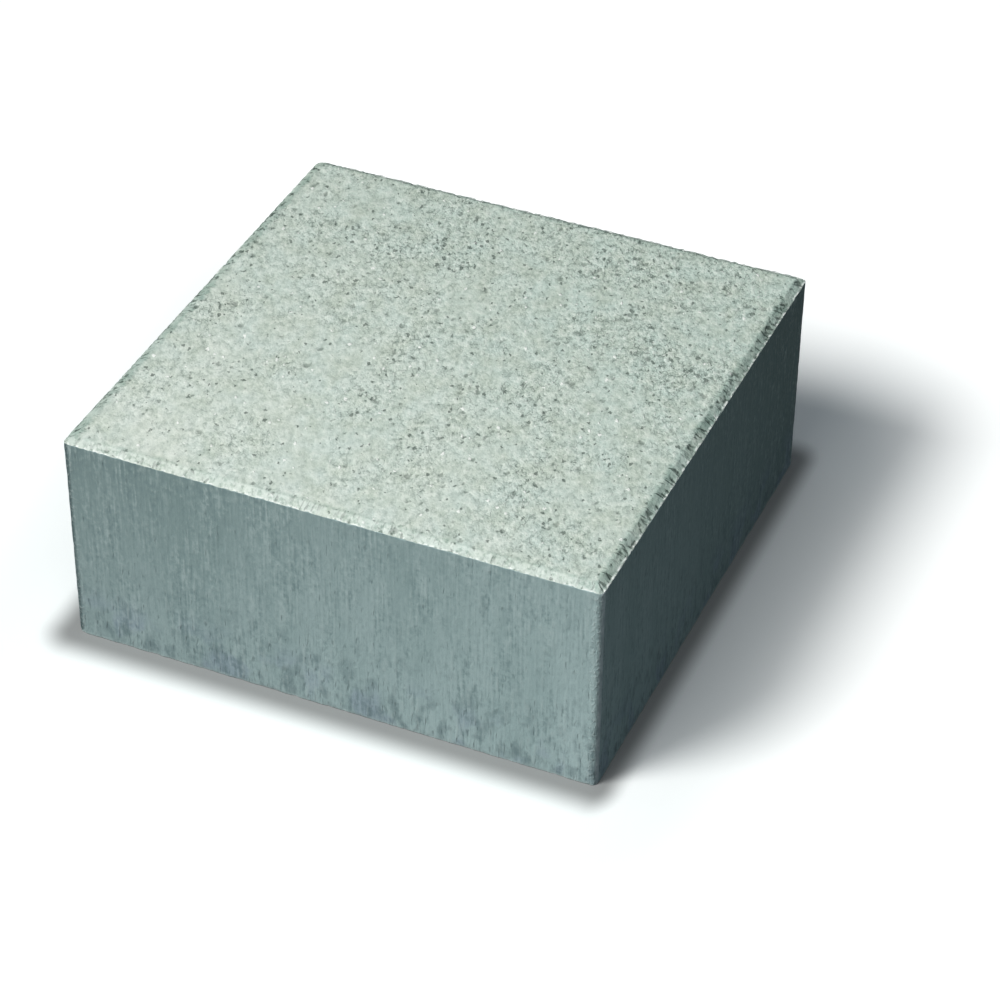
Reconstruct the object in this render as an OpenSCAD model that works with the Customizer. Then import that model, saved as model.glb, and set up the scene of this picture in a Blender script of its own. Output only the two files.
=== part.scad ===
// Concrete step block: one dry-cast block that makes one step of a garden stair.
// It stands on its bed, with the tread on top, and the origin is the centre of the bed.
// +X runs along the step, +Y from its front to its back, and +Z is up. Sizes are in millimetres.

/* [Block] */
// Length of the step, along its front edge
step_length = 350; // [200:10:800]
// Depth of the tread, from the front face to the back face
tread_depth = 350; // [200:10:600]
// Rise of the step, from the bed up to the tread
step_rise = 150; // [80:5:220]

/* [Edges] */
// Width of the chamfer round the tread, measured in from each side face
chamfer_width = 6; // [2:0.5:12]
// Drop of the chamfer, measured down from the tread
chamfer_drop = 3; // [1:0.5:8]
// Radius that the mould gives to the four upright corners
corner_radius = 4; // [2:0.5:15]

/* [Colour] */
// Pale grey-green of the cured concrete
concrete_colour = "#B4C0B8"; // [#B4C0B8:Grey-green, #A9A9A5:Grey, #C9BFA8:Buff]

/* [Hidden] */
// Height at which the side faces end and the chamfer starts
shoulder = step_rise - chamfer_drop;
// Centres of the corner arcs in plan, counted from the middle of the block
arc_x = step_length / 2 - corner_radius;
arc_y = tread_depth / 2 - corner_radius;
// A corner's chamfer is part of a cone. It ends at the tread, or at its own tip where the chamfer is
// wider than the corner's radius: there the straight chamfers meet in a short mitre above it.
cone_top_radius = max(0, corner_radius - chamfer_width);
cone_height = chamfer_drop * min(1, corner_radius / chamfer_width);
// Length by which a cutting shape runs past the face that it cuts
overrun = 1;

$fn = 96;

// Puts a copy of what follows at each of the four corner arcs
module at_corners() {
    for (side_x = [-1, 1], side_y = [-1, 1])
        translate([side_x * arc_x, side_y * arc_y, 0]) children();
}

// Section of the block across one pair of sides, with a chamfer at each top edge
module chamfered_section(width) {
    half = width / 2;
    polygon([
        [-half, 0],
        [half, 0],
        [half, shoulder],
        [half - chamfer_width, step_rise],
        [chamfer_width - half, step_rise],
        [-half, shoulder],
    ]);
}

// Bar with that section, centred on the origin, and as long as the block or a little longer
module chamfered_bar(width, length) {
    rotate([90, 0, 0])
        translate([0, 0, -length / 2])
            linear_extrude(length) chamfered_section(width);
}

// Block with sharp upright corners: two crossed bars share it, so the four chamfers meet in mitres
module mitred_block() {
    intersection() {
        chamfered_bar(step_length, tread_depth + 2 * overrun);
        rotate([0, 0, 90]) chamfered_bar(tread_depth, step_length + 2 * overrun);
    }
}

// Square prism round one upright corner, from the bed to above the tread
module corner_waste() {
    side = corner_radius + overrun;
    for (side_x = [-1, 1], side_y = [-1, 1])
        translate([side_x * (arc_x + side / 2), side_y * (arc_y + side / 2), step_rise / 2])
            cube([side, side, step_rise + 2 * overrun], center = true);
}

// Upright corner of the mould: a round post, chamfered at its top with the slope of the sides
module corner_post() {
    cylinder(r = corner_radius, h = shoulder);
    translate([0, 0, shoulder])
        cylinder(r1 = corner_radius, r2 = cone_top_radius, h = cone_height);
}

// The whole block is one casting
module step_block() {
    color(concrete_colour)
        union() {
            difference() {
                mitred_block();
                corner_waste();
            }
            at_corners() corner_post();
        }
}

step_block();
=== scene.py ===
# %% [markdown]
# # A concrete step block
#
# The block is one dry-cast casting. A stiff, barely damp mix is shaken into a steel mould that stands on a
# flat pallet, and a tamper head presses its top. Then the mould is drawn straight up off the fresh block.
# That gives three kinds of surface: a sandy tread pressed by the tamper, sides that are streaked from top
# to bottom by the mould, and a flat bed printed by the pallet.
#
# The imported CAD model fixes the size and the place. It is loaded first, and the rest is worked out from it.

# %% Load the frame
import math

import bpy
import numpy as np
from mathutils import Matrix, Vector, kdtree, noise


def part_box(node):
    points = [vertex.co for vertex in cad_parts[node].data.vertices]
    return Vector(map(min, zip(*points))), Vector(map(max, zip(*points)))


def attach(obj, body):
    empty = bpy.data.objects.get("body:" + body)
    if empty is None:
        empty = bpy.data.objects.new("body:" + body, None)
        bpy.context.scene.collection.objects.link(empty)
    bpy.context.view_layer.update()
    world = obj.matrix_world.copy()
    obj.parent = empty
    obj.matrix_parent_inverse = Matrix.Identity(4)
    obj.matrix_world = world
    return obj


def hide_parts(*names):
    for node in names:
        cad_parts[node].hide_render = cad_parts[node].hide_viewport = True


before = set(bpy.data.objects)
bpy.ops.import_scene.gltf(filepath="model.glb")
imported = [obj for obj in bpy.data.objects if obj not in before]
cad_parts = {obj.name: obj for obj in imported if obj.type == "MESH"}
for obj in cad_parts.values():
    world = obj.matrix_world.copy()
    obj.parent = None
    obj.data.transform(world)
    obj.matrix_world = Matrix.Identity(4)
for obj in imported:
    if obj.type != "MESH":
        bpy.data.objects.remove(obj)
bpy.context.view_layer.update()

print("the frame holds", sorted(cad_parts))

# %% [markdown]
# The sizes of the edges are read off the CAD mesh and not typed again, so that the skin follows it. The
# tread is every corner point at full height, and the right-hand side face is every point furthest along X.
# What lies between them is the chamfer, and what the side face lacks at its ends is the corner radius.
# Lengths in this file are in metres, as Blender's are, and MM turns a length in millimetres into one.

# %% Measure the casting
MM = 0.001
HAIR = 0.01 * MM
low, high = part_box("step_block")
cad_points = np.array([v.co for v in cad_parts["step_block"].data.vertices])
tread_points = cad_points[cad_points[:, 2] > high.z - HAIR]
side_points = cad_points[cad_points[:, 0] > high.x - HAIR]
chamfer_width = high.x - tread_points[:, 0].max()
chamfer_drop = high.z - side_points[:, 2].max()
corner_radius = high.y - side_points[:, 1].max()
shoulder = high.z - chamfer_drop
print(f"chamfer {chamfer_width / MM:.2f} mm wide and {chamfer_drop / MM:.2f} mm deep")
print(f"corners rounded to {corner_radius / MM:.2f} mm, shoulder at {shoulder / MM:.2f} mm")

# %% [markdown]
# ## The skin
#
# The CAD block is perfectly flat, and a real one is not: it has pits, proud grains, crumbled edges and a
# small lip where the tamper left a gap. Bump mapping would only pretend at those, and the edges would stay
# ruler-straight. So the block gets a skin of small quads, which take a real depth at every vertex.
#
# The skin is laid out like a knitted cap. The tread is a square grid. From its border, rings of vertices
# run down over the chamfer and the side faces and a little way in under the block. The cells narrow towards
# the corners, so that the rounding of an upright corner gets enough of them. Where a ring lies further in
# than the corner radius its corners are sharp, and SHARP only keeps a division by that radius from failing.
# A coarse grid closes the bed, where nothing fine shows. All of it stays below 200,000 triangles.

# %% Share out the cells along a side
TREAD_CELLS = 212
NARROWED_BY = 0.6
NARROW_RUN = 4
cells_from_end = np.minimum(np.arange(TREAD_CELLS), np.arange(TREAD_CELLS)[::-1])
cell_widths = 1 - NARROWED_BY * np.exp(-cells_from_end / NARROW_RUN)
shares = np.concatenate([[0], np.cumsum(cell_widths)]) / cell_widths.sum()
widths = np.diff(shares) * 2 * high.x / MM
print(f"cells from {widths.min():.2f} mm wide at a corner to {widths.max():.2f} mm in the middle")

# %% Draw the plan of a ring
RING = 4 * TREAD_CELLS
SHARP = 1e-9
half_sizes = [(high.x, high.y), (high.y, high.x), (high.x, high.y), (high.y, high.x)]
along_sides = [(1, 0), (0, 1), (-1, 0), (0, -1)]
FRONT, RIGHT, BACK, LEFT = range(4)


def outline(inset):
    """The block's plan, moved in by inset from the mould's wall: RING points from the front left corner."""
    radius = max(0.0, corner_radius - inset)
    points = []
    for (half_length, half_depth), along in zip(half_sizes, along_sides):
        along = np.array(along)
        outward = np.array([along[1], -along[0]])
        straight = half_length - max(corner_radius, inset)
        travel = (2 * shares[:-1] - 1) * (straight + radius * math.pi / 4)
        beyond = np.maximum(0, np.abs(travel) - straight)
        turn = beyond / max(radius, SHARP)
        across = np.sign(travel) * (np.abs(travel) - beyond + radius * np.sin(turn))
        out = half_depth - max(corner_radius, inset) + radius * np.cos(turn)
        points.append(across[:, None] * along + out[:, None] * outward)
    return np.concatenate(points)


print("the widest ring measures", np.round(np.ptp(outline(0.0), axis=0) / MM, 2), "mm")

# %% Set the heights of the rings
edge_steps = [0.5, 0.8, 1.2, 1.8, 2.4]
EVEN_STEPS = 41
even_step = (shoulder / MM - 2 * sum(edge_steps)) / EVEN_STEPS
steps = edge_steps + [even_step] * EVEN_STEPS + edge_steps[::-1]
side_heights = shoulder - np.cumsum(steps) * MM
chamfer_insets = [chamfer_width / MM * sixtieths / 60 for sixtieths in (52, 40, 28, 17, 8, 0)]
BED_RIM = 1.2 * MM
rings = [(inset * MM, high.z - chamfer_drop * (1 - inset * MM / chamfer_width)) for inset in chamfer_insets]
rings += [(0.0, max(0.0, height)) for height in side_heights]
rings += [(BED_RIM, 0.0)]
print(f"{len(rings)} rings of {RING} points, {even_step:.2f} mm apart on the sides")

# %% [markdown]
# The cap is knitted in three lots of faces, and each lot gets its own finish: the tread with its chamfers,
# the four sides, and the bed. Beside its place, every corner of a face also gets a place on a flat sheet,
# laid out as the block would unfold if it were a cardboard box: the tread and the bed side by side, and the
# four sides in strips below them. A texture baked on that sheet has no stretched or wasted parts.

# %% Number the points
BED_STEP = 4
BED_CELLS = TREAD_CELLS // BED_STEP
BED_INSET = 4 * MM
inner = np.array([high.x - chamfer_width, high.y - chamfer_width])


def plan_grid(lines, half, height):
    """A square grid of points at one height, row by row from the front, its lines at those shares."""
    rows, columns = np.meshgrid(2 * lines - 1, 2 * lines - 1, indexing="ij")
    return np.stack([columns * half[0], rows * half[1], np.full(rows.shape, height)], axis=2).reshape(-1, 3)


def border(cells):
    """The numbers of a grid's outermost points, in the order of the rings."""
    row = cells + 1
    run = np.arange(cells)
    return np.concatenate([run, run * row + cells, row * row - 1 - run, (cells - run) * row])


ring_points = [np.column_stack([outline(inset), np.full(RING, height)]) for inset, height in rings]
bed_half = np.array([high.x - BED_INSET, high.y - BED_INSET])
parts = [plan_grid(shares, inner, high.z)] + ring_points + [plan_grid(shares[::BED_STEP], bed_half, 0.0)]
firsts = np.cumsum([0] + [len(part) for part in parts])
points = np.concatenate(parts)
loops = [border(TREAD_CELLS)] + [firsts[1 + r] + np.arange(RING) for r in range(len(rings))]
print(f"{len(points)} points in the skin")

# %% Keep faces and their places on the sheet
SHEET_GAP = 3 * MM
strip_long = 2 * high.x
strip_tall = high.z
face_corners = []
sheet_corners = []
face_finish = []
TREAD_FINISH, SIDE_FINISH, BED_FINISH = range(3)


def knit(corners, sheet, finish):
    """Keep faces, the places of their corners on the flat sheet, and their finish."""
    face_corners.extend(corners.tolist())
    sheet_corners.extend(sheet.reshape(-1, 2).tolist())
    face_finish.extend([finish] * len(corners))


def plan_sheet(numbers, mirrored=False):
    """The place on the sheet of points seen from above, or from below at the right of that."""
    place = points[numbers][..., :2] + [high.x, high.y]
    if mirrored:
        place = place * [-1, 1] + [4 * high.x + SHEET_GAP, 0]
    return place


def grid_faces(cells, first):
    """The square faces of a grid, seen from above."""
    row = cells + 1
    corner = (np.arange(cells)[:, None] * row + np.arange(cells)).ravel() + first
    return np.stack([corner, corner + 1, corner + 1 + row, corner + row], axis=1)


print(f"strips {strip_long / MM:.0f} mm long and {strip_tall / MM:.0f} mm tall on the flat sheet")

# %% Knit the tread, the chamfers and the sides
tread_faces = grid_faces(TREAD_CELLS, 0)
knit(tread_faces, plan_sheet(tread_faces), TREAD_FINISH)
for number, (upper, lower) in enumerate(zip(loops[:-1], loops[1:])):
    faces = np.stack([upper, lower, np.roll(lower, -1), np.roll(upper, -1)], axis=1)
    if number < len(chamfer_insets):
        knit(faces, plan_sheet(faces), TREAD_FINISH)
        continue
    if number == len(loops) - 2:
        knit(faces, plan_sheet(faces, mirrored=True), BED_FINISH)
        continue
    side_of_column = np.arange(RING) // TREAD_CELLS
    strip_start = side_of_column % 2 * (strip_long + SHEET_GAP)
    left = strip_start + np.tile(shares[:-1], 4) * strip_long
    right = strip_start + np.tile(shares[1:], 4) * strip_long
    base = -(1 + side_of_column // 2) * (strip_tall + SHEET_GAP)
    top, bottom = points[upper[0], 2], points[lower[0], 2]
    sheet = [(left, base + top), (left, base + bottom), (right, base + bottom), (right, base + top)]
    knit(faces, np.stack([np.stack(place, axis=1) for place in sheet], axis=1), SIDE_FINISH)
print(f"{len(face_corners)} faces above the bed")

# %% [markdown]
# The bed's grid has one cell where the ring around it has four. So each point of the ring is joined to the
# nearest point of the bed's border, in fans of four, and one triangle closes the step from fan to fan.

# %% Close the bed
bed_faces = grid_faces(BED_CELLS, firsts[-2])[:, ::-1]
knit(bed_faces, plan_sheet(bed_faces, mirrored=True), BED_FINISH)
last_ring = loops[-1]
bed_border = border(BED_CELLS) + firsts[-2]
coarse = np.arange(RING) // BED_STEP + (np.arange(RING) % BED_STEP >= BED_STEP // 2)
fans = np.stack([last_ring, bed_border[coarse % len(bed_border)], np.roll(last_ring, -1)], axis=1)
knit(fans, plan_sheet(fans, mirrored=True), BED_FINISH)
links = np.stack([last_ring[BED_STEP // 2::BED_STEP], bed_border, np.roll(bed_border, -1)], axis=1)
knit(links, plan_sheet(links, mirrored=True), BED_FINISH)
triangles = sum(len(face) - 2 for face in face_corners)
print(f"{len(face_corners)} faces, {triangles} triangles in all")

# %% [markdown]
# ## Relief
#
# Each real mark is added as a depth in millimetres, pushed into the block along the surface's own
# direction. Hardly anything stands proud, because the mould's walls and the tamper were the limit while the
# mix was wet. Smooth noise stands for the lumps of the mix. It is read at every point, with its lumps' size
# given in millimetres along X, Y and Z, so a tall narrow lump makes the streak that a rising mould leaves.
# On top, the lumps lie a little longer along a line that runs to the back left, as raking the mix would
# leave them. For that, the noise there is read in a frame that is turned to that line and squeezed along it.

# %% Make the mesh and find what faces outwards
mesh = bpy.data.meshes.new("cast_block")
mesh.from_pydata(points.tolist(), [], face_corners)
outward = np.empty(len(points) * 3)
mesh.vertex_normals.foreach_get("vector", outward)
outward = outward.reshape(-1, 3)

tread_end = firsts[1]
side_start = firsts[len(chamfer_insets)]
bed_start = firsts[-3]
on_tread = np.arange(len(points)) < tread_end
on_sides = (np.arange(len(points)) >= side_start) & (np.arange(len(points)) < bed_start)
on_chamfer = (np.arange(len(points)) >= tread_end) & (np.arange(len(points)) < side_start)
on_top = on_tread | on_chamfer
heights = points[:, 2] / MM
print(on_top.sum(), "points on the tread and its chamfers,", on_sides.sum(), "on the sides")


# %% Noise with a size
RAKE = math.radians(23)
DRAWN_OUT = 1.45
DRAGGED = 3.5
SEED_STEP = 31.7
to_rake = np.array([[math.cos(RAKE), -math.sin(RAKE), 0], [math.sin(RAKE), math.cos(RAKE), 0], [0, 0, 1]])
raked = points @ to_rake / [1, DRAWN_OUT, 1]
dragged = points / [1, 1, DRAGGED]


def lumps(size, seed, at=points):
    """Smooth noise from about -1 to 1 at every point, its lumps so many millimetres wide."""
    places = at / (np.array(size) * MM) + seed * SEED_STEP
    return np.array([noise.noise(place) for place in places.tolist()])


def bell(distance):
    """A round hollow's profile: 1 in the middle and 0 from a distance of 1."""
    return np.clip(1 - distance ** 2, 0, None) ** 1.5


print(f"on top the lumps lie {DRAWN_OUT} times longer, {math.degrees(RAKE):.0f} degrees left of the back")

# %% Lumps and sand grains
SAG_DEPTH = 0.15
CLUMP_DEPTH = 0.14
GRAIN_DEPTH = 0.16
SIDE_SAG_DEPTH = 0.12
STREAK_DEPTH = 0.07
depth = np.zeros(len(points))
sag = 0.5 + lumps((110, 110, 110), 1)
clumps = lumps((9, 9, 9), 2, raked)
grains = lumps((2.6, 2.6, 2.6), 3, raked)
streaks = lumps((3.2, 3.2, 26), 4)
depth[on_top] = (SAG_DEPTH * sag + CLUMP_DEPTH * clumps + GRAIN_DEPTH * grains)[on_top]
depth[on_sides] = (SIDE_SAG_DEPTH * sag + STREAK_DEPTH * streaks)[on_sides]
print(f"lumps and grains up to {depth.max():.2f} mm deep")

# %% [markdown]
# The top didn't close up evenly. It has smooth patches and open-grained ones, more of them to the back and
# the right. How open it is at each point is worked out once, from large lumps with smaller ones on them,
# and the pits and the material both use it. The seeds were chosen among many for where the patches lie.

# %% Find where the grain stayed open
PATCH_SEED = 186
PATCHLET_SEED = 226
toward_back = points[:, 1] / high.y
toward_right = points[:, 0] / high.x
patches = lumps((42, 42, 42), PATCH_SEED) + 0.6 * lumps((20, 20, 20), PATCHLET_SEED)
open_grain = np.clip(0.45 + 0.5 * patches + 0.18 * toward_back + 0.15 * toward_right, 0, 1)
print(f"{np.mean(open_grain[on_top] > 0.6):.0%} of the top is open grained")

# %% [markdown]
# ### Pits
#
# A dry mix leaves small voids where the mortar didn't close between the sand grains. On the tread they are
# roundish and come in patches. On the sides the rising mould drags each one into an upright teardrop, and
# there are more near the bottom, where the mix was compacted least. A k-d tree finds the points of the skin
# near each pit quickly. It holds the points in a squeezed frame, so that a round search finds a long pit.
# How deep a point lies in a pit is kept as well, and the material darkens it by that: partly dirt that
# gathers there and partly painted shade.
# The half widths scatter round a mean by a gamma distribution, which adds a few wide ones.

# %% Dig one pit, and draw places for many
dice = np.random.default_rng(20)
hollow = np.zeros(len(points))


def dig(at, numbers, centres, widths, depths):
    """Dig a pit at each centre, of a half width and a depth in millimetres, round in the frame of at."""
    finder = kdtree.KDTree(len(numbers))
    for number in numbers.tolist():
        finder.insert(at[number] / MM, number)
    finder.balance()
    for centre, width, pit_depth in zip(centres, widths, depths):
        found = finder.find_range(centre / MM, width)
        near = [number for _, number, _ in found]
        share = bell(np.array([distance for _, _, distance in found]) / width)
        depth[near] = np.maximum(depth[near], depth[near] * (1 - share) + pit_depth * share)
        hollow[near] = np.maximum(hollow[near], share * min(1, pit_depth))


def chosen(at, numbers, chance, count):
    """Draw places for pits near points of the skin, more often where the chance is higher."""
    weight = chance[numbers]
    drawn = dice.choice(numbers, size=count, replace=False, p=weight / weight.sum())
    return at[drawn] + dice.uniform(-0.5, 0.5, (count, 3)) * MM


top_numbers = np.flatnonzero(on_top)
side_numbers = np.flatnonzero(on_sides)
print(f"pits can start at {len(top_numbers)} points of the top and {len(side_numbers)} of the sides")

# %% Scatter the pits
TREAD_PITS = 1400
SIDE_PITS = 700
PIT_EVENNESS = 9
TREAD_PIT = 1.35
SIDE_PIT = 1.44
WIDEST_SIDE_PIT = 2.4
TREAD_STEEPNESS = 0.5
SIDE_STEEPNESS = 0.18
WORST_BELOW = 22
top_chance = 0.12 + open_grain ** 1.5
side_chance = np.exp(1.5 * patches + 2.2 * np.exp(-heights / WORST_BELOW))
pit_sizes = dice.gamma(PIT_EVENNESS, TREAD_PIT / PIT_EVENNESS, TREAD_PITS)
places = chosen(raked, top_numbers, top_chance, TREAD_PITS)
dig(raked, top_numbers, places, pit_sizes, TREAD_STEEPNESS * pit_sizes)
pit_sizes = dice.gamma(PIT_EVENNESS, SIDE_PIT / PIT_EVENNESS, SIDE_PITS)
pit_sizes = np.minimum(pit_sizes, WIDEST_SIDE_PIT)
places = chosen(dragged, side_numbers, side_chance, SIDE_PITS)
dig(dragged, side_numbers, places, pit_sizes, SIDE_STEEPNESS * pit_sizes)
print(f"{np.count_nonzero(hollow > 0.3)} points lie in pits, the deepest {depth.max():.2f} mm")

# %% [markdown]
# ### Edges
#
# The tamper presses the chamfer, and when it lifts, grains stick to its slope and tear short grooves down
# it. How many depends on the side: this block was tamped a little harder to the front, so its front chamfer
# is clean and its right-hand one is torn. The scraped band starts raggedly, a little way in on the tread.
#
# Everything here hangs on how far a point is from each of the four sides. Those four distances are worked
# out once, and from them how much a point belongs to each side, which changes smoothly round a corner.

# %% Find the scraped bands
SIDE_BLEND = 2.5
BAND_BEYOND = 0.2
BAND_RAGGED = 2.4
BAND_FADE = 2.6
scraped_share = {FRONT: 0.46, RIGHT: 0.85, BACK: 0.60, LEFT: 1.0}
gaps = [high.y + points[:, 1], high.x - points[:, 0], high.y - points[:, 1], high.x + points[:, 0]]
gaps = np.stack(gaps) / MM
from_edge = gaps.min(axis=0)
nearness = np.exp(-gaps / SIDE_BLEND)
side_shares = nearness / nearness.sum(axis=0)
scraped = sum(side_shares[side] * share for side, share in scraped_share.items())
ragged_start = chamfer_width / MM + BAND_BEYOND + BAND_RAGGED * lumps((4, 4, 4), 10)
scraped = scraped * on_top * np.clip(1 - (from_edge - ragged_start) / BAND_FADE, 0, 1)
scraped = np.clip(scraped * (0.9 + 0.5 * lumps((14, 14, 14), 11)), 0, 1)
print(f"{np.count_nonzero(scraped > 0.3)} points lie in the scraped bands")

# %% Tear the chamfers
GROOVE_MIDDLE = (0.5, 5.0)
GROOVE_HALF_LENGTH = (2.0, 4.5)
GROOVE_DEPTH = (0.3, 1.1)
torn_share = {FRONT: 0.04, RIGHT: 0.26, BACK: 0.16, LEFT: 0.22}
inset_of_ring = np.array(chamfer_insets)
brittle = 1 + 1.8 * lumps((16, 16, 16), 12)[loops[len(chamfer_insets)]]
torn = 0
for side, share in torn_share.items():
    for column in range(side * TREAD_CELLS, (side + 1) * TREAD_CELLS):
        if dice.random() > share * brittle[column]:
            continue
        middle = dice.uniform(*GROOVE_MIDDLE)
        half_length = dice.uniform(*GROOVE_HALF_LENGTH)
        tear = dice.uniform(*GROOVE_DEPTH) * bell((inset_of_ring - middle) / half_length)
        numbers = firsts[1] + np.arange(len(inset_of_ring)) * RING + column
        depth[numbers] = depth[numbers] + tear
        hollow[numbers] = np.maximum(hollow[numbers], np.minimum(1, tear))
        torn += 1
print(f"{torn} grooves torn in the chamfers")

# %% [markdown]
# The mould's corners pack a little worse, so the upright corners of the block are crumbly, and so is its
# foot, which stands on the pallet. Where the right-hand upright corners round off they get a painted
# highlight. At the front left corner some slurry ran down along the mould and left a thin dark line.

# %% Crumble the corners and the lower edge
CORNER_BAND = 7
CORNER_WEAR = 0.25
FOOT_BAND = 1.2
FOOT_WEAR = 0.45
from_corner = np.hypot(np.minimum(gaps[LEFT], gaps[RIGHT]), np.minimum(gaps[FRONT], gaps[BACK]))
corner_band = bell(np.clip(from_corner - corner_radius / MM / 2, 0, None) / CORNER_BAND)
crumbs = np.clip(lumps((2.8, 2.8, 4), 6) + 0.25, 0, None)
corner_wear = on_sides * corner_band * CORNER_WEAR * crumbs
foot_band = on_sides * np.exp(-heights / FOOT_BAND)
foot_wear = foot_band * np.clip(lumps((7, 7, 7), 8) + 0.3, 0, None) * FOOT_WEAR
depth = depth + corner_wear + foot_wear
print(f"corners worn up to {corner_wear.max():.2f} mm, the foot up to {foot_wear.max():.2f} mm")

# %% Paint a highlight on the right-hand upright corners
second_gap = np.sort(gaps, axis=0)[1]
on_arc = np.clip((corner_radius / MM + 0.6 - second_gap) / 1.2, 0, 1)
off_end = np.minimum(gaps[LEFT], gaps[RIGHT])
off_front = np.minimum(gaps[FRONT], gaps[BACK])
round_the_end = np.clip(0.35 + (off_front - off_end) / 3, 0, 1)
# A painted highlight on the arc of each right-hand upright corner, strongest where it turns to the end.
painted_corner_light = on_sides * on_arc * round_the_end * (gaps[LEFT] > off_end)
painted_corner_light = np.clip(painted_corner_light * (0.9 + 0.8 * lumps((3, 3, 6), 15)), 0, 1)
print(f"{np.count_nonzero(painted_corner_light > 0.3)} points lie on rubbed corners")

# %% Run slurry down the front left corner
SLURRY_EDGE = 4.4
thinness = SLURRY_EDGE + 0.7 * lumps((6, 6, 30), 13)
slurry = on_sides * np.clip((thinness - gaps[LEFT]) / 1.5, 0, 1) * (gaps[FRONT] < corner_radius / MM)
print(f"{np.count_nonzero(slurry > 0.3)} points lie in the dark line")

# %% [markdown]
# Some wet mortar squeezes into the gap between the tamper and the mould. It stays as a ragged lip along the
# lower edge of the chamfer, which is the shoulder of the block. Where the mould took grains along there are
# nicks instead, and on the left, where the lip broke off, the edge is dirty.

# %% Nick the lower edge of the chamfers
NICK_DEPTH = 1.4
nick_share = {RIGHT: 1.0, LEFT: 0.5, BACK: 0.7}
from_shoulder = np.abs(heights - shoulder / MM)
nicks = np.exp(-from_shoulder) * np.clip(lumps((2.5, 2.5, 2.5), 14) - 0.12, 0, None)
nicks = NICK_DEPTH * nicks * sum(side_shares[side] * share for side, share in nick_share.items())
nicks = nicks * (on_chamfer | on_sides)
depth = depth + nicks
print(f"nicks up to {nicks.max():.2f} mm deep")

# %% Dirty the broken edge of the left chamfer
shoulder_ring = loops[len(chamfer_insets)]
inner_ring = loops[len(chamfer_insets) - 1]
edge_dirt = np.clip((0.55 + 0.9 * lumps((6, 6, 6), 16)) * side_shares[LEFT], 0, 1)
hollow[shoulder_ring] = np.maximum(hollow, edge_dirt)[shoulder_ring]
hollow[inner_ring] = np.maximum(hollow, 0.6 * edge_dirt)[inner_ring]
print(f"{np.count_nonzero(edge_dirt[shoulder_ring] > 0.3)} points of the lower edge are dirty")

# %% Squeeze out the lip
LIP_HEIGHT = 0.42
LIP_ROOT = -0.08
lip = np.zeros(len(points))
ragged = np.clip(0.45 + 2.4 * lumps((3, 3, 3), 9) + 0.9 * grains, 0, 1.4)
ragged = ragged * np.clip(1 - 2 * hollow, 0, 1)
lip[shoulder_ring] = LIP_HEIGHT * ragged[shoulder_ring]
lip[inner_ring] = LIP_ROOT
print(f"the lip is {lip.max():.2f} mm high at most")

# %% [markdown]
# Now the points move in by their depths. The lip goes straight up, since the tamper lifts that way. A last
# clip keeps every point inside the block's own box, as the mould did, and the bed stays flat. The marks are
# also kept on the mesh as attributes, so that the materials know where they are.

# %% Push the skin into shape
shaped = points - outward * depth[:, None] * MM
shaped[:, 2] += lip * MM
shaped[bed_start:] = points[bed_start:]
shaped = np.clip(shaped, np.array(low), np.array(high))
mesh.vertices.foreach_set("co", shaped.ravel())
mesh.update()
print("the skin measures", np.round(np.ptp(shaped, axis=0) / MM, 2), "mm")

# %% Lay the flat sheet and the finishes on the mesh
bake_sheet = mesh.uv_layers.new(name="OFBake")
sheet_places = np.array(sheet_corners)
sheet_places -= sheet_places.min(axis=0)
sheet_places = (sheet_places + SHEET_GAP) / (sheet_places.max() + 2 * SHEET_GAP)
bake_sheet.uv.foreach_set("vector", sheet_places.ravel())
mesh.polygons.foreach_set("material_index", face_finish)
mesh.shade_smooth()
print("the sheet reaches", np.round(sheet_places.max(axis=0), 2), "of the texture's width and height")

# %% Keep the marks and make the block
CLEAN_CRUMBS = 0.22
lip_share = np.clip(lip / LIP_HEIGHT, 0, 1)
lip_share[inner_ring] = 0.8 * lip_share[shoulder_ring]
# The front chamfer gets a share too, so that its crumbs take the same painted highlights and shade.
lip_share = np.maximum(lip_share, CLEAN_CRUMBS * on_chamfer * side_shares[FRONT])
kept_values = {
    "hollow": hollow,
    "scraped": scraped,
    "corner": corner_band,
    "highlighted": painted_corner_light,
    "slurry": slurry,
    "open_grain": open_grain,
    "lip": lip_share,
}
for name, values in kept_values.items():
    kept = mesh.attributes.new(name, "FLOAT", "POINT")
    kept.data.foreach_set("value", values)


def place_new(name, data):
    """Make an object of a mesh, a lamp or a camera, and put it in the scene."""
    made = bpy.data.objects.new(name, data)
    bpy.context.scene.collection.objects.link(made)
    return made


cast_block = place_new("cast_block", mesh)
print("cast_block has", len(mesh.polygons), "faces and", len(mesh.attributes), "attributes")

# %% [markdown]
# ## Finishes
#
# Concrete has no single colour. What the eye reads as concrete is pale sand grains in a grey-green cement
# paste, small dark voids between them, and slow changes of tint where the mix was wetter or drier. Each of
# those is a pattern of its own below, with its size in millimetres. A pattern gives a share from 0 to 1,
# and its share says how far the colour underneath moves to the pattern's own tone.
#
# One function turns a colour as a designer writes it, sRGB hex, into the linear values that Blender
# calculates with. Another adds a node with its settings and its links. Its inputs go by name or, for short,
# by number: of a MapRange, 1 and 2 are where a pattern starts and ends, and 3 and 4 what it gives there.

# %% Colours and nodes
def linear(colour):
    """The linear RGBA of an sRGB hex colour."""
    levels = [int(colour[start:start + 2], 16) / 255 for start in (1, 3, 5)]
    return [v / 12.92 if v <= 0.04045 else ((v + 0.055) / 1.055) ** 2.4 for v in levels] + [1.0]


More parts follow.
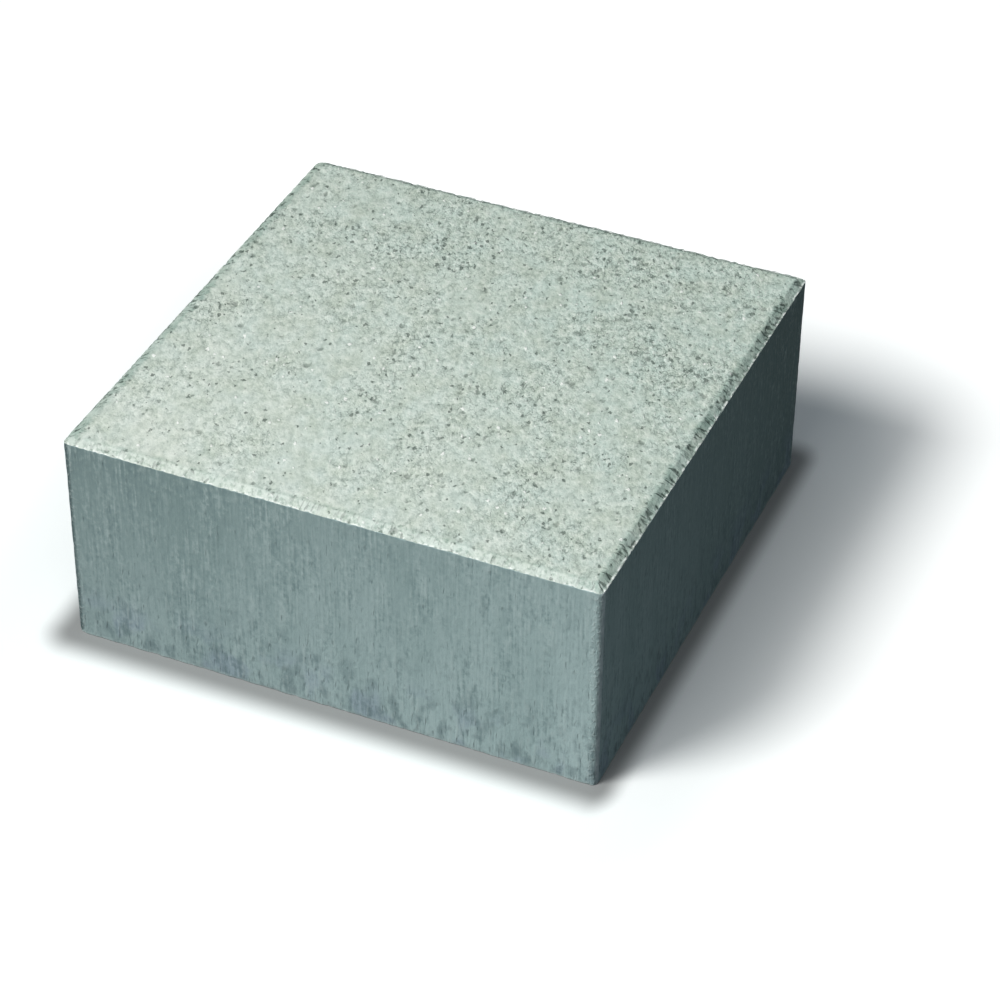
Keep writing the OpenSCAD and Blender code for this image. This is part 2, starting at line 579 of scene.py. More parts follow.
def add(tree, kind, links, **settings):
    """Add a node. Links gives its inputs, by name or number, a value, a hex colour or another node."""
    node = tree.nodes.new("ShaderNode" + kind)
    for name, value in settings.items():
        setattr(node, name, value)
    for key, value in links.items():
        named = [socket for socket in node.inputs if socket.enabled and socket.name == key]
        socket = named[0] if named else node.inputs[key]
        if isinstance(value, str):
            value = linear(value)
        if isinstance(value, bpy.types.Node):
            value = [output for output in value.outputs if output.enabled][0]
        if isinstance(value, bpy.types.NodeSocket):
            tree.links.new(value, socket)
        else:
            socket.default_value = value
    return node


print("a mid grey, #808080, is", round(linear("#808080")[0], 3), "of white in linear light")

# %% [markdown]
# Every concrete finish starts with the place on the block in millimetres and ends with the same surface.
# Nothing shines: the roughness is high everywhere, a little lower on the sides and the bed, which steel
# pressed smooth. Cement paste bends light as ordinary glass does, with an IOR of 1.5, but its pores swallow
# much of what gloss is left. MATT is what they leave, where 0.5 would be a closed surface. Relief too fine
# for the skin is bump, and its heights are in millimetres.

# %% Start and end of a finish
MATT = 0.15
CEMENT_IOR = 1.5


def start_finish(name):
    """An empty material, its tree, and a node that gives the place on the block in millimetres."""
    material = bpy.data.materials.new(name)
    material.use_nodes = True
    tree = material.node_tree
    tree.nodes.clear()
    metres = add(tree, "TexCoord", {}).outputs["Object"]
    place = add(tree, "VectorMath", {0: metres, "Scale": 1 / MM}, operation="SCALE")
    return material, tree, place


def patches_of(tree, place, size, detail=2.0):
    """Soft patches from 0 to 1, so many millimetres wide along X, Y and Z."""
    squeeze = tuple(1 / length for length in size)
    squeezed = add(tree, "Mapping", {"Vector": place, "Scale": squeeze})
    return add(tree, "TexNoise", {"Vector": squeezed, "Scale": 1.0, "Detail": detail})


def end_finish(tree, colour, relief, rough):
    """Give a concrete finish its surface: its colour, its relief in millimetres and its roughness."""
    bump = add(tree, "Bump", {"Height": relief, "Distance": MM, "Strength": 1.0})
    looks = {"Base Color": colour, "Roughness": rough, "Normal": bump}
    shader = add(tree, "BsdfPrincipled", {**looks, "IOR": CEMENT_IOR, "Specular IOR Level": MATT})
    add(tree, "OutputMaterial", {"Surface": shader})


print("each finish has an IOR of", CEMENT_IOR, "and a specular level of", MATT)

# %% [markdown]
# ### The tread: tamped concrete
#
# The tamper's plate presses the top flat, but the mix is too dry to close over. Most of it is a dull
# grey-green paste, mottled where it was pressed more or less. It is warmer in tone near the front and
# greener towards the back. Towards the right it is darker, which is painted shade for light that falls
# off across the tread. Where the grain stayed open the paste is crumbled: its small crests are painted
# pale as highlights, and the dips between them are painted in shade.

# %% Tread: tints, and painted shade towards the right
smooth = {"interpolation_type": "SMOOTHSTEP"}
half_plan = (high.x / MM, high.y / MM, 0.0)
SHADE_TOWARD = (1.0, 0.1, 0.0)
SHADE_REACH = 192.0
TINT = 34.0
CLOUD = 15.0
tread_finish, tree, straight = start_finish("tamped_concrete")
raking = {"Rotation": (0.0, 0.0, RAKE), "Scale": (1.0, DRAWN_OUT, 1.0)}
place = add(tree, "Mapping", {"Vector": straight, **raking}, vector_type="TEXTURE")
tint_patches = patches_of(tree, place, (TINT, TINT, TINT))
tint = add(tree, "MapRange", {"Value": tint_patches, 1: 0.36, 2: 0.64})
# Painted shade: the paste darkens towards the right, standing in for light that falls off across the tread.
to_shade = add(tree, "VectorMath", {0: straight, 1: SHADE_TOWARD}, operation="DOT_PRODUCT").outputs["Value"]
falloff_shade = add(tree, "MapRange", {"Value": to_shade, 1: -SHADE_REACH, 2: SHADE_REACH, 3: 0.0, 4: 0.46})
to_back = add(tree, "SeparateXYZ", {0: straight}).outputs["Y"]
greener = add(tree, "MapRange", {"Value": to_back, 1: -half_plan[1], 2: half_plan[1], 3: 0.0, 4: 0.4})
cloud_patches = patches_of(tree, place, (CLOUD, CLOUD, CLOUD))
cloud = add(tree, "MapRange", {"Value": cloud_patches, 1: 0.38, 2: 0.66, 3: 0.0, 4: 0.6})
print("tamped concrete: tints change over", TINT, "mm, clouds over", CLOUD, "mm")

# %% Tread: paste
MOTTLE = 5.0
CRUMBLE = 2.1
mottle = patches_of(tree, place, (MOTTLE, MOTTLE, MOTTLE), detail=3.0)
pressed = add(tree, "MapRange", {"Value": mottle, 1: 0.5, 2: 0.25, 3: 0.0, 4: 0.45})
proud = add(tree, "MapRange", {"Value": mottle, 1: 0.5, 2: 0.75, 3: 0.0, 4: 0.45})
open_here = add(tree, "Attribute", {}, attribute_name="open_grain").outputs["Fac"]
crumbling = add(tree, "MapRange", {"Value": open_here, 3: 0.25, 4: 1.0})
crumble = patches_of(tree, place, (CRUMBLE, CRUMBLE, CRUMBLE))
# Painted shade in the dips and painted highlights on the crests of the crumbled paste.
dip_shade = add(tree, "MapRange", {"Value": crumble, 1: 0.42, 2: 0.28, 3: 0.0, 4: 0.7}, **smooth)
dip_shade = add(tree, "Math", {0: dip_shade, 1: crumbling}, operation="MULTIPLY")
crest_highlight = add(tree, "MapRange", {"Value": crumble, 1: 0.58, 2: 0.72, 3: 0.0, 4: 0.5}, **smooth)
crest_highlight = add(tree, "Math", {0: crest_highlight, 1: crumbling}, operation="MULTIPLY")
paste = add(tree, "Mix", {"Factor": tint, "A": "#CDD7CE", "B": "#D5DBD0"}, data_type="RGBA")
tones = [(falloff_shade, "#A9BFB5"), (greener, "#C4DACB"), (cloud, "#B9C3B2")]
tones += [(pressed, "#A1AEA3"), (proud, "#ECF0E5"), (dip_shade, "#7F8F86"), (crest_highlight, "#F0F4EB")]
for share, tone in tones:
    paste = add(tree, "Mix", {"Factor": share, "A": paste, "B": tone}, data_type="RGBA")
print("paste mottled every", MOTTLE, "mm and crumbled every", CRUMBLE, "mm")

# %% [markdown]
# In the open patches single grains of sand show: most are coated in paste, some are painted bright as lit
# grains and some are painted dark as grains in shadow. A Voronoi pattern gives every grain a cell with a
# random draw of its own. Real sand runs from dust to about 2 mm. It is drawn here towards its coarse end,
# because the finer grains are too small to show. The pattern is read at a place that is jogged a little by
# noise, so that no grain is a neat polygon. Here and there the tamper has scraped the paste off a larger
# stone, and that is the brightest thing: partly the stone's own pale face and partly a painted highlight.

# %% Tread: sand
SAND = 1.5
jog = add(tree, "TexNoise", {"Vector": place, "Scale": 1 / SAND, "Detail": 0.0}).outputs["Color"]
bent = add(tree, "VectorMath", {0: jog, 1: (SAND, SAND, SAND), 2: place}, operation="MULTIPLY_ADD")
sand = add(tree, "TexVoronoi", {"Vector": bent, "Scale": 1 / SAND})
draw = add(tree, "SeparateColor", {0: sand.outputs["Color"]})
showing = add(tree, "MapRange", {"Value": open_here, 3: 0.5, 4: 1.0})
# Grains drawn dull are painted shade, and grains drawn bright are painted light.
shaded_grain = add(tree, "MapRange", {"Value": draw, 1: 0.0, 2: 0.4, 3: 0.4, 4: 0.0}, **smooth)
shaded_grain = add(tree, "Math", {0: shaded_grain, 1: showing}, operation="MULTIPLY")
lit_grain = add(tree, "MapRange", {"Value": draw, 1: 0.65, 2: 1.0, 3: 0.0, 4: 0.4}, **smooth)
lit_grain = add(tree, "Math", {0: lit_grain, 1: showing}, operation="MULTIPLY")
print("grains drawn", SAND, "mm wide")

# %% Tread: scraped stones
STONE_SPACING = 5.5
LARGEST_STONE = 0.26
stone_cells = add(tree, "TexVoronoi", {"Vector": bent, "Scale": 1 / STONE_SPACING})
stone_draw = add(tree, "SeparateColor", {0: stone_cells.outputs["Color"]})
stone_reach = add(tree, "MapRange", {"Value": stone_draw, 1: 0.55, 2: 1.0, 3: 0.0, 4: LARGEST_STONE})
in_stone = add(tree, "Math", {0: stone_reach, 1: stone_cells.outputs["Distance"]}, operation="SUBTRACT")
stone = add(tree, "MapRange", {"Value": in_stone, 1: 0.0, 2: 0.08}, **smooth)
# The scraped stones' pale tone is partly their own colour and partly a painted highlight.
scrape_and_glint = add(tree, "Math", {0: stone, 1: 0.9}, operation="MULTIPLY")
grainy = paste
for share, tone in [(shaded_grain, "#8C9B91"), (lit_grain, "#E4EAE0"), (scrape_and_glint, "#F5F7F0")]:
    grainy = add(tree, "Mix", {"Factor": share, "A": grainy, "B": tone}, data_type="RGBA")
print("stones drawn up to", round(2 * LARGEST_STONE * STONE_SPACING, 1), "mm wide")

# %% [markdown]
# Between the grains are voids. The small ones are a second Voronoi pattern, in which each cell draws the
# radius of its void, and the draw is larger where the grain is open. The crumbled paste bites into their
# edges. Where mortar shrank back from a coarse grain, a broken dark rim runs round it. The pits that were
# dug in the skin are dark as well.

# %% Tread: voids between the grains
VOID_SPACING = 4.0
LARGEST_VOID = 0.47
scraped_off = add(tree, "Attribute", {}, attribute_name="scraped").outputs["Fac"]
room = add(tree, "MapRange", {"Value": open_here, 3: 0.20, 4: LARGEST_VOID})
room = add(tree, "Math", {0: scraped_off, 1: 0.12, 2: room}, operation="MULTIPLY_ADD")
void_cells = add(tree, "TexVoronoi", {"Vector": bent, "Scale": 1 / VOID_SPACING})
void_draw = add(tree, "SeparateColor", {0: void_cells.outputs["Color"]})
void_reach = add(tree, "MapRange", {"Value": void_draw, 1: 0.5, 2: 1.0, 3: 0.0, 4: room})
in_void = add(tree, "Math", {0: void_reach, 1: void_cells.outputs["Distance"]}, operation="SUBTRACT")
bitten = add(tree, "Math", {0: crumble, 1: -1.2, 2: 0.6}, operation="MULTIPLY_ADD")
in_void = add(tree, "Math", {0: in_void, 1: bitten}, operation="ADD")
void = add(tree, "MapRange", {"Value": in_void, 1: 0.0, 2: 0.16}, **smooth)
print("voids drawn up to", round(2 * LARGEST_VOID * VOID_SPACING, 1), "mm wide, with bitten edges")

# %% Tread: rims round coarse grains, and the dug pits
COARSE = 3.6
borders = add(tree, "TexVoronoi", {"Vector": bent, "Scale": 1 / COARSE}, feature="DISTANCE_TO_EDGE")
rim = add(tree, "MapRange", {"Value": borders.outputs["Distance"], 1: 0.09, 2: 0.02}, **smooth)
broken = add(tree, "MapRange", {"Value": mottle, 1: 0.53, 2: 0.40}, **smooth)
rim = add(tree, "Math", {0: rim, 1: broken}, operation="MULTIPLY")
rim = add(tree, "Math", {0: rim, 1: open_here}, operation="MULTIPLY")
dug = add(tree, "Attribute", {}, attribute_name="hollow").outputs["Fac"]
ragged_edge = add(tree, "Math", {0: crumble, 1: -1.3, 2: 0.5}, operation="MULTIPLY_ADD")
pit = add(tree, "Math", {0: dug, 1: ragged_edge}, operation="ADD")
pit = add(tree, "MapRange", {"Value": pit, 1: 0.05, 2: 0.5}, **smooth)
pit_share = add(tree, "MapRange", {"Value": scraped_off, 3: 0.5, 4: 0.9})
print("rims drawn round grains", COARSE, "mm apart")

# %% [markdown]
# On the scraped chamfers the grooves are finer than the skin's quads, so most of them are drawn here: dark
# strokes that run down the slope, in clusters. On the two ends they run along X, and on the front and the
# back along Y. Which of the two it is follows from whether a point is further out along X or along Y. Real
# grooves go down to a hair's width. They are drawn about a millimetre wide, as the finer ones don't show.

# %% Tread: strokes down the chamfers
STROKE = 2.2
out_from = add(tree, "SeparateXYZ", {0: add(tree, "VectorMath", {0: straight}, operation="ABSOLUTE")})
on_end = add(tree, "Math", {0: out_from.outputs["X"], 1: out_from.outputs["Y"]}, operation="GREATER_THAN")
along_x = patches_of(tree, straight, (4 * STROKE, STROKE, 4 * STROKE), detail=1.0)
along_y = patches_of(tree, straight, (STROKE, 4 * STROKE, 4 * STROKE), detail=1.0)
stroke = add(tree, "Mix", {"Factor": on_end, "A": along_y, "B": along_x})
stroke = add(tree, "MapRange", {"Value": stroke, 1: 0.57, 2: 0.68, 3: 0.0, 4: 0.9}, **smooth)
clusters = patches_of(tree, straight, (14, 14, 14))
crowded = add(tree, "MapRange", {"Value": clusters, 1: 0.36, 2: 0.62, 3: 0.25, 4: 1.15}, **smooth)
stroke = add(tree, "Math", {0: stroke, 1: crowded}, operation="MULTIPLY")
stroke = add(tree, "Math", {0: stroke, 1: scraped_off}, operation="MULTIPLY", use_clamp=True)
print("strokes about", STROKE / 2, "mm wide")

# %% [markdown]
# What is hollow is dark, since dirt and shade gather there. Voids, rims, pits and strokes don't add up
# where they meet: the darkest one counts. Under them the scraped bands are duller and greener than the
# rest, most where the strokes crowd. The lip along the edge is broken into crumbs, which get painted
# highlights and painted shade.

# %% Tread: dirt, wear and painted light on the lip
VOID_DARKNESS = 0.66
RIM_DARKNESS = 0.60
dark = stroke
for mark, share in [(void, VOID_DARKNESS), (rim, RIM_DARKNESS), (pit, pit_share)]:
    shown = add(tree, "Math", {0: mark, 1: share}, operation="MULTIPLY")
    dark = add(tree, "Math", {0: dark, 1: shown}, operation="MAXIMUM")
worn = add(tree, "MapRange", {"Value": crowded, 1: 0.25, 2: 1.15, 3: 0.33, 4: 0.52})
worn = add(tree, "Math", {0: scraped_off, 1: worn}, operation="MULTIPLY")
lip_here = add(tree, "Attribute", {}, attribute_name="lip").outputs["Fac"]
lip_crumbs = patches_of(tree, straight, (2.9, 2.9, 2.2), detail=3.0)
# Painted highlights and painted shade on the crumbs of the lip and of the front chamfer.
lip_highlight = add(tree, "MapRange", {"Value": lip_crumbs, 1: 0.38, 2: 0.52}, **smooth)
lip_highlight = add(tree, "Math", {0: lip_highlight, 1: lip_here}, operation="MULTIPLY")
lip_shade = add(tree, "MapRange", {"Value": lip_crumbs, 1: 0.46, 2: 0.32}, **smooth)
lip_shade = add(tree, "Math", {0: lip_shade, 1: lip_here}, operation="MULTIPLY")
colour = grainy
for share, tone in [(worn, "#6D9084"), (dark, "#424F48"), (lip_highlight, "#F4F7F1"), (lip_shade, "#7F8F86")]:
    colour = add(tree, "Mix", {"Factor": share, "A": colour, "B": tone}, data_type="RGBA")
print("the darkest void covers", VOID_DARKNESS, "of the paste's colour")

# %% Tread: surface
domes = add(tree, "Math", {0: sand.outputs["Distance"], 1: open_here}, operation="MULTIPLY")
crumbled = add(tree, "Math", {0: crumbling, 1: crumble}, operation="MULTIPLY")
relief = 0.0
rises = [(domes, -0.22), (mottle, 0.7), (crumbled, 0.8), (stone, 0.22)]
rises += [(rim, -0.18), (void, -0.25), (stroke, -0.45)]
for mark, rise in rises:
    relief = add(tree, "Math", {0: mark, 1: rise, 2: relief}, operation="MULTIPLY_ADD")
rough = add(tree, "MapRange", {"Value": draw, 3: 0.84, 4: 0.97})
end_finish(tree, colour, relief, rough)
print("the tread's finish has", len(tree.nodes), "nodes")

# %% [markdown]
# ### The sides: mould-stripped concrete
#
# The steel wall drags on the fresh block while it rises. It pulls fine paste over the grains, so the sides
# are smoother and darker than the tread, with streaks that run straight up. They come as long streaks with
# short ones in them, clearer in some places than in others. The paste is painted palest round the front
# right corner and darker to the back, to the left and higher up: painted light and shade that stand in for
# light falling unevenly on the sides.
#
# Near the foot the paste is blotched, where it stayed wetter, and a little bluer in places.

# %% Sides: painted light and shade, and blotches
SIDE_CLOUD = (24, 24, 34)
BLOTCH = (8, 8, 14)
LIT_TOWARD = (0.36, -0.70, 0.0)
side_finish, tree, place = start_finish("mould_stripped_concrete")
broad_streak = patches_of(tree, place, (26, 26, 160))
zone = add(tree, "MapRange", {"Value": broad_streak, 1: 0.35, 2: 0.65})
# Painted light and shade: palest towards the front right corner, darker to the back, to the left and higher
# up.
to_lit = add(tree, "VectorMath", {0: place, 1: LIT_TOWARD}, operation="DOT_PRODUCT").outputs["Value"]
side_shade = add(tree, "MapRange", {"Value": to_lit, 1: -60.0, 2: 186.0, 3: 0.74, 4: 0.12})
up = add(tree, "SeparateXYZ", {0: place}).outputs["Z"]
shade_above = add(tree, "MapRange", {"Value": up, 1: 0.0, 2: high.z / MM, 3: 0.0, 4: 0.30})
side_shade = add(tree, "Math", {0: side_shade, 1: shade_above}, operation="ADD")
cloud = patches_of(tree, place, SIDE_CLOUD)
blue = add(tree, "MapRange", {"Value": cloud, 1: 0.46, 2: 0.60, 3: 0.0, 4: 0.55}, **smooth)
at_foot = add(tree, "MapRange", {"Value": up, 1: 12.0, 2: 45.0, 3: 1.0, 4: 0.0}, **smooth)
blue = add(tree, "Math", {0: blue, 1: at_foot}, operation="MULTIPLY")
blotch = patches_of(tree, place, BLOTCH, detail=4.0)
blotch = add(tree, "MapRange", {"Value": blotch, 1: 0.48, 2: 0.66, 3: 0.0, 4: 0.58}, **smooth)
low_down = add(tree, "MapRange", {"Value": up, 1: 0.0, 2: 80.0, 3: 1.0, 4: 0.1}, **smooth)
blotch = add(tree, "Math", {0: blotch, 1: low_down}, operation="MULTIPLY")
print("mould-stripped concrete: clouds", SIDE_CLOUD[0], "mm wide, blotches", BLOTCH[0], "mm wide")

# %% Sides: streaks of paste
LONG_STREAK = (1.8, 1.8, 26)
SHORT_STREAK = (2.2, 2.2, 3.4)
long_streak = patches_of(tree, place, LONG_STREAK)
short_streak = patches_of(tree, place, SHORT_STREAK)
fine_streak = add(tree, "Mix", {"Factor": 0.48, "A": long_streak, "B": short_streak})
dragging = patches_of(tree, place, (12, 12, 36))
dragging = add(tree, "MapRange", {"Value": dragging, 1: 0.35, 2: 0.65, 3: 0.35, 4: 1.45})
dull = add(tree, "MapRange", {"Value": fine_streak, 1: 0.52, 2: 0.33, 3: 0.0, 4: 0.46}, **smooth)
dull = add(tree, "Math", {0: dull, 1: dragging}, operation="MULTIPLY")
pale = add(tree, "MapRange", {"Value": fine_streak, 1: 0.48, 2: 0.67, 3: 0.0, 4: 0.4}, **smooth)
pale = add(tree, "Math", {0: pale, 1: dragging}, operation="MULTIPLY")
paste = add(tree, "Mix", {"Factor": zone, "A": "#B9D2D0", "B": "#C7DFDD"}, data_type="RGBA")
tones = [(side_shade, "#5F7270"), (blue, "#99AAB8"), (blotch, "#6B8083"), (dull, "#768C8D"), (pale, "#BCCECB")]
for share, tone in tones:
    paste = add(tree, "Mix", {"Factor": share, "A": paste, "B": tone}, data_type="RGBA")
print("streaks", LONG_STREAK[2], "mm long, with others of", SHORT_STREAK[2], "mm in them")

# %% [markdown]
# Small dark dashes are voids that the mould dragged shut, and they crowd towards the bottom. The thin line
# of slurry is the darkest mark. The lowest edge is worn pale. The crumbs on the corners get painted
# highlights, and the right-hand upright corners get a painted highlight where they round off.

# %% Sides: dragged voids, slurry, wear and painted highlights
DASH = (1.8, 1.8, 8)
dash_noise = patches_of(tree, place, DASH, detail=0.5)
dash_start = add(tree, "MapRange", {"Value": low_down, 3: 0.68, 4: 0.59})
dash_depth = add(tree, "Math", {0: dash_noise, 1: dash_start}, operation="SUBTRACT")
dash = add(tree, "MapRange", {"Value": dash_depth, 1: 0.0, 2: 0.18}, **smooth)
dug = add(tree, "Attribute", {}, attribute_name="hollow").outputs["Fac"]
slurry_here = add(tree, "Attribute", {}, attribute_name="slurry").outputs["Fac"]
dark = 0.0
for mark, share in [(dash, 0.32), (dug, 0.2), (slurry_here, 0.85)]:
    shown = add(tree, "Math", {0: mark, 1: share}, operation="MULTIPLY")
    dark = add(tree, "Math", {0: dark, 1: shown}, operation="MAXIMUM")
rubbed_foot = add(tree, "MapRange", {"Value": up, 1: 0.6, 2: 2.8, 3: 0.55, 4: 0.0}, **smooth)
crumbly = add(tree, "Attribute", {}, attribute_name="corner").outputs["Fac"]
crumb_noise = patches_of(tree, place, (1.8, 1.8, 2.4))
crumb = add(tree, "MapRange", {"Value": crumb_noise, 1: 0.48, 2: 0.66}, **smooth)
crumb = add(tree, "Math", {0: crumb, 1: crumbly}, operation="MULTIPLY")
# Painted highlights on the crumbs of the corners.
crumb_highlight = add(tree, "Math", {0: crumb, 1: 0.35}, operation="MULTIPLY")
# The painted highlight on the right-hand upright corners.
corner_light_here = add(tree, "Attribute", {}, attribute_name="highlighted").outputs["Fac"]
colour = paste
tones = [(dark, "#465759"), (rubbed_foot, "#B2C4C1"), (crumb_highlight, "#C9D6D2"), (corner_light_here, "#E6F2F0")]
for share, tone in tones:
    colour = add(tree, "Mix", {"Factor": share, "A": colour, "B": tone}, data_type="RGBA")
print("dashes drawn", DASH[0], "mm wide and", DASH[2], "mm long")

# %% Sides: surface
relief = 0.0
for mark, rise in [(fine_streak, 0.55), (dash, -0.2), (crumb, 0.15)]:
    relief = add(tree, "Math", {0: mark, 1: rise, 2: relief}, operation="MULTIPLY_ADD")
rough = add(tree, "MapRange", {"Value": fine_streak, 3: 0.78, 4: 0.92})
end_finish(tree, colour, relief, rough)
print("the sides' finish has", len(tree.nodes), "nodes")

# %% [markdown]
# ### The bed: pallet-cast concrete
#
# The bed was cast on the steel pallet, so it is the flattest face: closed grey paste with the pinholes of
# trapped air, and cloudy where water gathered.

# %% Bed
PINHOLE = 1.6
bed_finish, tree, place = start_finish("pallet_cast_concrete")
cloud = patches_of(tree, place, (28, 28, 28), detail=4.0)
paste = add(tree, "Mix", {"Factor": cloud, "A": "#8FA29F", "B": "#B3C1BC"}, data_type="RGBA")
pin_noise = patches_of(tree, place, (PINHOLE, PINHOLE, PINHOLE), detail=1.0)
pin = add(tree, "MapRange", {"Value": pin_noise, 1: 0.66, 2: 0.78}, **smooth)
colour = add(tree, "Mix", {"Factor": pin, "A": paste, "B": "#65736F"}, data_type="RGBA")
relief = add(tree, "Math", {0: pin, 1: -0.3}, operation="MULTIPLY")
rough = add(tree, "MapRange", {"Value": cloud, 3: 0.75, 4: 0.9})
end_finish(tree, colour, relief, rough)
print("the bed's finish has", len(tree.nodes), "nodes, with pinholes up to", PINHOLE, "mm wide")

# %% [markdown]
# The mesh takes its three finishes in the order in which its faces name them. Then the block joins the
# frame: it rides on the only body, it stands for the CAD's solid, which is hidden, and it is concrete.

# %% Put the block in the frame
for material in (tread_finish, side_finish, bed_finish):
    mesh.materials.append(material)
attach(cast_block, "root")
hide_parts("step_block")
print("cast_block wears", [material.name for material in mesh.materials])

# %% [markdown]
# ## Floor, lamps and camera
#
# The floor is a plain pale sheet. To the camera it is white, so that the block stands on a clean page with
# only its shadow. To the light that bounces off it, it is a dark grey, so that the shaded side of the block
# stays dark and modelled. A mirror or a glass would show the white page too, so those rays count as seen.
#
# Where the floor is close to the block, little of the room's light gets in. The last three centimetres are
# darkened for that, by how far each point of the floor is from the block's outline. On the shaded side it
# is only two, so there SIDEWAYS makes the distance count for more. Further out the page takes up a glow of
# its own, which lets the shadow fade out into clean white.

# %% Floor: distance from the block
FLOOR_HALF = 6.0
SIDEWAYS = 1.5
LIT_SIDE = 1.1
floor_mesh = bpy.data.meshes.new("floor")
floor_corners = [(-FLOOR_HALF, -FLOOR_HALF, 0), (FLOOR_HALF, -FLOOR_HALF, 0),
                 (FLOOR_HALF, FLOOR_HALF, 0), (-FLOOR_HALF, FLOOR_HALF, 0)]
floor_mesh.from_pydata(floor_corners, [], [(0, 1, 2, 3)])
floor = place_new("floor", floor_mesh)
floor_finish, tree, place = start_finish("pale_card")
beyond = add(tree, "VectorMath", {0: place}, operation="ABSOLUTE")
beyond = add(tree, "VectorMath", {0: beyond, 1: half_plan}, operation="SUBTRACT")
beyond = add(tree, "VectorMath", {0: beyond, 1: (0.0, 0.0, 0.0)}, operation="MAXIMUM")
rightward = add(tree, "SeparateXYZ", {0: place}).outputs["X"]
sideways = {"Value": rightward, 1: -half_plan[0], 2: half_plan[0], 3: LIT_SIDE, 4: SIDEWAYS}
sideways = add(tree, "MapRange", sideways)
count = add(tree, "CombineXYZ", {"X": sideways, "Y": 1.0, "Z": 1.0})
beyond = add(tree, "VectorMath", {0: beyond, 1: count}, operation="MULTIPLY")
gap = add(tree, "VectorMath", {0: beyond}, operation="LENGTH").outputs["Value"]
print("floor", 2 * FLOOR_HALF, "m across")

# %% Floor: the page
CONTACT = 0.30
CONTACT_STARTS = 5.0
CONTACT_ENDS = 30.0
GLOW_STARTS = 55.0
GLOW_FULL = 210.0
GLOW_NEAR = 0.06
GLOW_FAR = 0.38


def seen_rays(tree):
    """1 for what the camera sees, straight or in a mirror or through glass, and 0 for light on its way."""
    rays = add(tree, "LightPath", {}).outputs
    seen = add(tree, "Math", {0: rays["Is Camera Ray"], 1: rays["Is Glossy Ray"]}, operation="ADD")
    return add(tree, "Math", {0: seen, 1: rays["Is Transmission Ray"]}, operation="ADD", use_clamp=True)


opening = {"Value": gap, 1: CONTACT_STARTS, 2: CONTACT_ENDS, 3: CONTACT, 4: 1.0}
openness = add(tree, "MapRange", opening, **smooth)
glowing = {"Value": gap, 1: GLOW_STARTS, 2: GLOW_FULL, 3: GLOW_NEAR, 4: GLOW_FAR}
page_glow = add(tree, "MapRange", glowing, **smooth)
glow_strength = add(tree, "Math", {0: openness, 1: page_glow}, operation="MULTIPLY")
card_tone = add(tree, "Mix", {"Factor": openness, "A": "#000000", "B": "#FCFFFD"}, data_type="RGBA")
card = add(tree, "BsdfDiffuse", {"Color": card_tone})
glow = add(tree, "Emission", {"Color": "#FFFBF8", "Strength": glow_strength})
page = add(tree, "AddShader", {0: card, 1: glow})
grey = add(tree, "BsdfDiffuse", {"Color": "#2C3033"})
both = add(tree, "MixShader", {0: seen_rays(tree), 1: grey, 2: page})
add(tree, "OutputMaterial", {"Surface": both})
floor_mesh.materials.append(floor_finish)
print(f"the floor keeps {CONTACT:.0%} of its tone at the block and all of it {CONTACT_ENDS:.0f} mm away")

# %% [markdown]
# The room is dim and a little blue, and gives the shaded side most of its light. Seen directly it is white,
# as the page is. The levels here and at the lamps are given as shares of the plain level, at which a white
# card on the floor comes out just white. A lamp of one share gives a level surface that share of the whole.

# %% World
AMBIENT = 0.145
world = bpy.data.worlds.new("studio")
bpy.context.scene.world = world
world.use_nodes = True
tree = world.node_tree
tree.nodes.clear()
dim = add(tree, "Background", {"Color": "#D7EEFF", "Strength": AMBIENT})
white = add(tree, "Background", {"Color": "#FFFFFF", "Strength": 1.0})
both = add(tree, "MixShader", {0: seen_rays(tree), 1: dim, 2: white})
add(tree, "OutputWorld", {"Surface": both})
print("ambient share", AMBIENT)

# %% [markdown]
# The key lamp is a broad sun from the front left, so that the right-hand side is in shade and the shadow
# falls to the back right. Its angle is wide, which makes the shadow's edge soft. Its level falls with the
# slant at which it meets a level surface, so that is divided out.

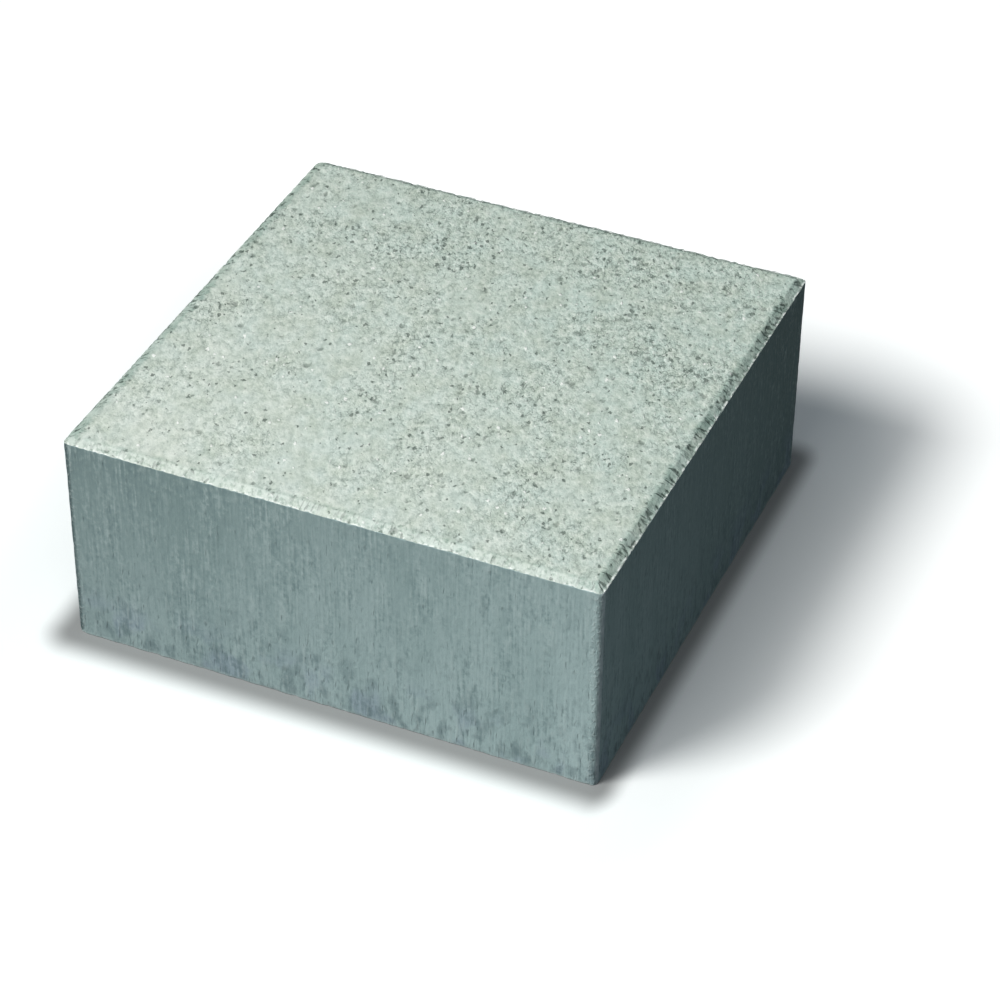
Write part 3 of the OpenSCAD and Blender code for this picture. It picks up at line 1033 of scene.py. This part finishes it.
# %% Key lamp
KEY_SHARE = 0.485
KEY_SOFTNESS = math.radians(25)
KEY_TOWARD = Vector((-1.085, -1.143, 1.50)).normalized()
key_light = bpy.data.lights.new("key", "SUN")
key_light.angle = KEY_SOFTNESS
key_light.energy = KEY_SHARE * math.pi / KEY_TOWARD.z
key = place_new("key", key_light)
key.rotation_euler = KEY_TOWARD.to_track_quat("Z", "Y").to_euler()
print(f"key {key_light.energy:.2f} W/m2")

# %% [markdown]
# Two square soft boxes help it. The fill hangs in front of the block and lifts the front face. The side box
# is weak, and gives the shaded face just enough to show its streaks. Both look at the middle of the tread.

# %% Soft boxes
BOX_SIZE = 0.6
middle = Vector((0, 0, high.z))
for name, share, box_place in [
    ("fill", 0.37, Vector((-0.10, -0.60, 0.95))),
    ("side", 0.03, Vector((0.50, -0.50, 0.95))),
]:
    soft_light = bpy.data.lights.new(name, "AREA")
    soft_light.shape = "SQUARE"
    soft_light.size = BOX_SIZE
    toward = box_place - middle
    lean = toward.normalized().z
    soft_light.energy = share * math.pi ** 2 * toward.length_squared / lean
    soft_box = place_new(name, soft_light)
    soft_box.location = box_place
    soft_box.rotation_euler = toward.to_track_quat("Z", "Y").to_euler()
    print(f"{name} {soft_light.energy:.2f} W")

# %% [markdown]
# The camera stands two metres off at the front right and looks down through a long lens, so that the edges
# hardly run together. The Standard view keeps the colours as written.

# %% Camera
CAMERA_AZIMUTH = math.radians(23.11)
CAMERA_ELEVATION = math.radians(37.84)
CAMERA_ROLL = math.radians(0.693)
CAMERA_DISTANCE = 1.992
aim = Vector((0.05033, -0.03301, 0.07514))
away = Vector((
    math.sin(CAMERA_AZIMUTH) * math.cos(CAMERA_ELEVATION),
    -math.cos(CAMERA_AZIMUTH) * math.cos(CAMERA_ELEVATION),
    math.sin(CAMERA_ELEVATION),
))
LONG_LENS = 115.2
camera_data = bpy.data.cameras.new("camera")
camera_data.lens = LONG_LENS
camera_data.sensor_width = 36.0
camera = place_new("camera", camera_data)
turn = away.to_track_quat("Z", "Y").to_matrix().to_4x4()
camera.matrix_world = (
    Matrix.Translation(aim + away * CAMERA_DISTANCE) @ turn @ Matrix.Rotation(CAMERA_ROLL, 4, "Z")
)
bpy.context.scene.camera = camera
bpy.context.scene.view_settings.view_transform = "Standard"
print("camera at", [round(value, 3) for value in camera.matrix_world.translation])
